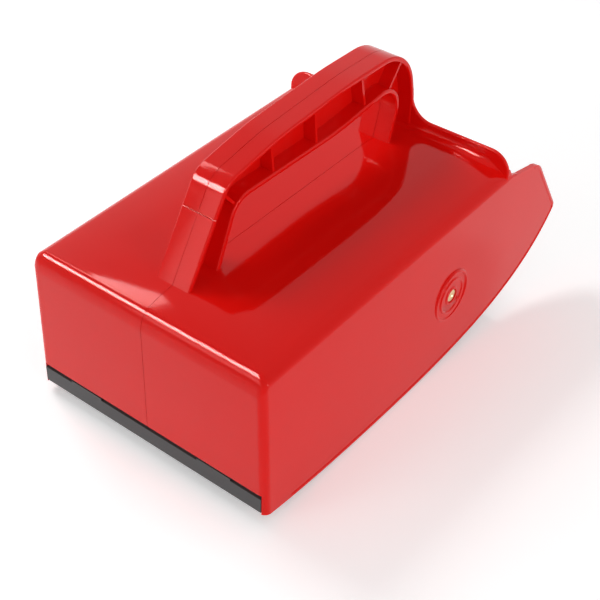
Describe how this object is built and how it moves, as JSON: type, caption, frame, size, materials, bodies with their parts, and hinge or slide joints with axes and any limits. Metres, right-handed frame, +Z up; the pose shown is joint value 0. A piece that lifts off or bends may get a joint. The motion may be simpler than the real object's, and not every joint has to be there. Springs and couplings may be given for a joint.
{
  "type": "hand carpet sweeper",
  "caption": "Hand-held carpet sweeper: red two-part casing with a loop handle, wheel-driven brush roller, small wheels and a drop-down dust tray.",
  "frame": {"origin": "on the floor, under the centre of the part's box", "axes": "+Z up, +Y from the rear wall towards the open mouth between the cheeks, +X to the side of the drive belt"},
  "size_m": [0.1512, 0.2614, 0.1511],
  "materials": {
    "casing_red": "glossy injection-moulded red plastic, with a trace of light coming through thin ribs",
    "charcoal_plastic": "fine-grained matte charcoal plastic",
    "rubber": "matt black rubber",
    "brass": "turned brass",
    "steel": "drawn steel",
    "core_wood": "turned beech, sealed",
    "bristle": "dark nylon bristle"
  },
  "bodies": {
    "root": {"casing_right": "casing_red", "casing_left": "casing_red", "bulkhead_right": "charcoal_plastic", "bulkhead_left": "charcoal_plastic", "seam_screw_1": "steel", "seam_screw_2": "steel", "seam_screw_3": "steel", "brush_axle": "brass", "dust_ramp": "charcoal_plastic", "brush_comb": "charcoal_plastic", "drive_belt": "rubber", "tray_hinge_rod": "steel", "pin_rear_right": "steel", "pin_rear_left": "steel", "pin_front_right": "steel", "pin_front_left": "steel"},
    "brush": {"brush_core": "core_wood", "brush_cap_right": "charcoal_plastic", "brush_cap_left": "charcoal_plastic", "brush_pulley": "charcoal_plastic", "bristle_row_1": "bristle", "bristle_row_2": "bristle", "bristle_row_3": "bristle", "bristle_row_4": "bristle", "bristle_row_5": "bristle", "bristle_row_6": "bristle"},
    "wheel_rear_right": {"hub_rear_right": "charcoal_plastic", "tyre_rear_right": "rubber", "drive_pulley": "charcoal_plastic"},
    "wheel_rear_left": {"hub_rear_left": "charcoal_plastic", "tyre_rear_left": "rubber"},
    "wheel_front_right": {"hub_front_right": "charcoal_plastic", "tyre_front_right": "rubber"},
    "wheel_front_left": {"hub_front_left": "charcoal_plastic", "tyre_front_left": "rubber"},
    "tray": {"dust_tray": "charcoal_plastic", "tray_seal": "rubber"}
  },
  "joints": [
    {"name": "brush_spin", "type": "hinge", "parent": "root", "child": "brush", "pos_m": [0, 0.02301, 0.044], "axis": [1, 0, 0], "continuous": true},
    {"name": "wheel_rear_right_spin", "type": "hinge", "parent": "root", "child": "wheel_rear_right", "pos_m": [0, -0.07869, 0.014], "axis": [1, 0, 0], "continuous": true},
    {"name": "wheel_rear_left_spin", "type": "hinge", "parent": "root", "child": "wheel_rear_left", "pos_m": [0, -0.07869, 0.014], "axis": [1, 0, 0], "continuous": true},
    {"name": "wheel_front_right_spin", "type": "hinge", "parent": "root", "child": "wheel_front_right", "pos_m": [0, 0.03731, 0.014], "axis": [1, 0, 0], "continuous": true},
    {"name": "wheel_front_left_spin", "type": "hinge", "parent": "root", "child": "wheel_front_left", "pos_m": [0, 0.03731, 0.014], "axis": [1, 0, 0], "continuous": true},
    {"name": "tray_hinge", "type": "hinge", "parent": "root", "child": "tray", "pos_m": [0, -0.02469, 0.0101], "axis": [1, 0, 0], "range_deg": [0, 70]}
  ],
  "couplings": [
    {"joint": "wheel_rear_right_spin", "follows": "brush_spin", "ratio": 0.5}
  ]
}
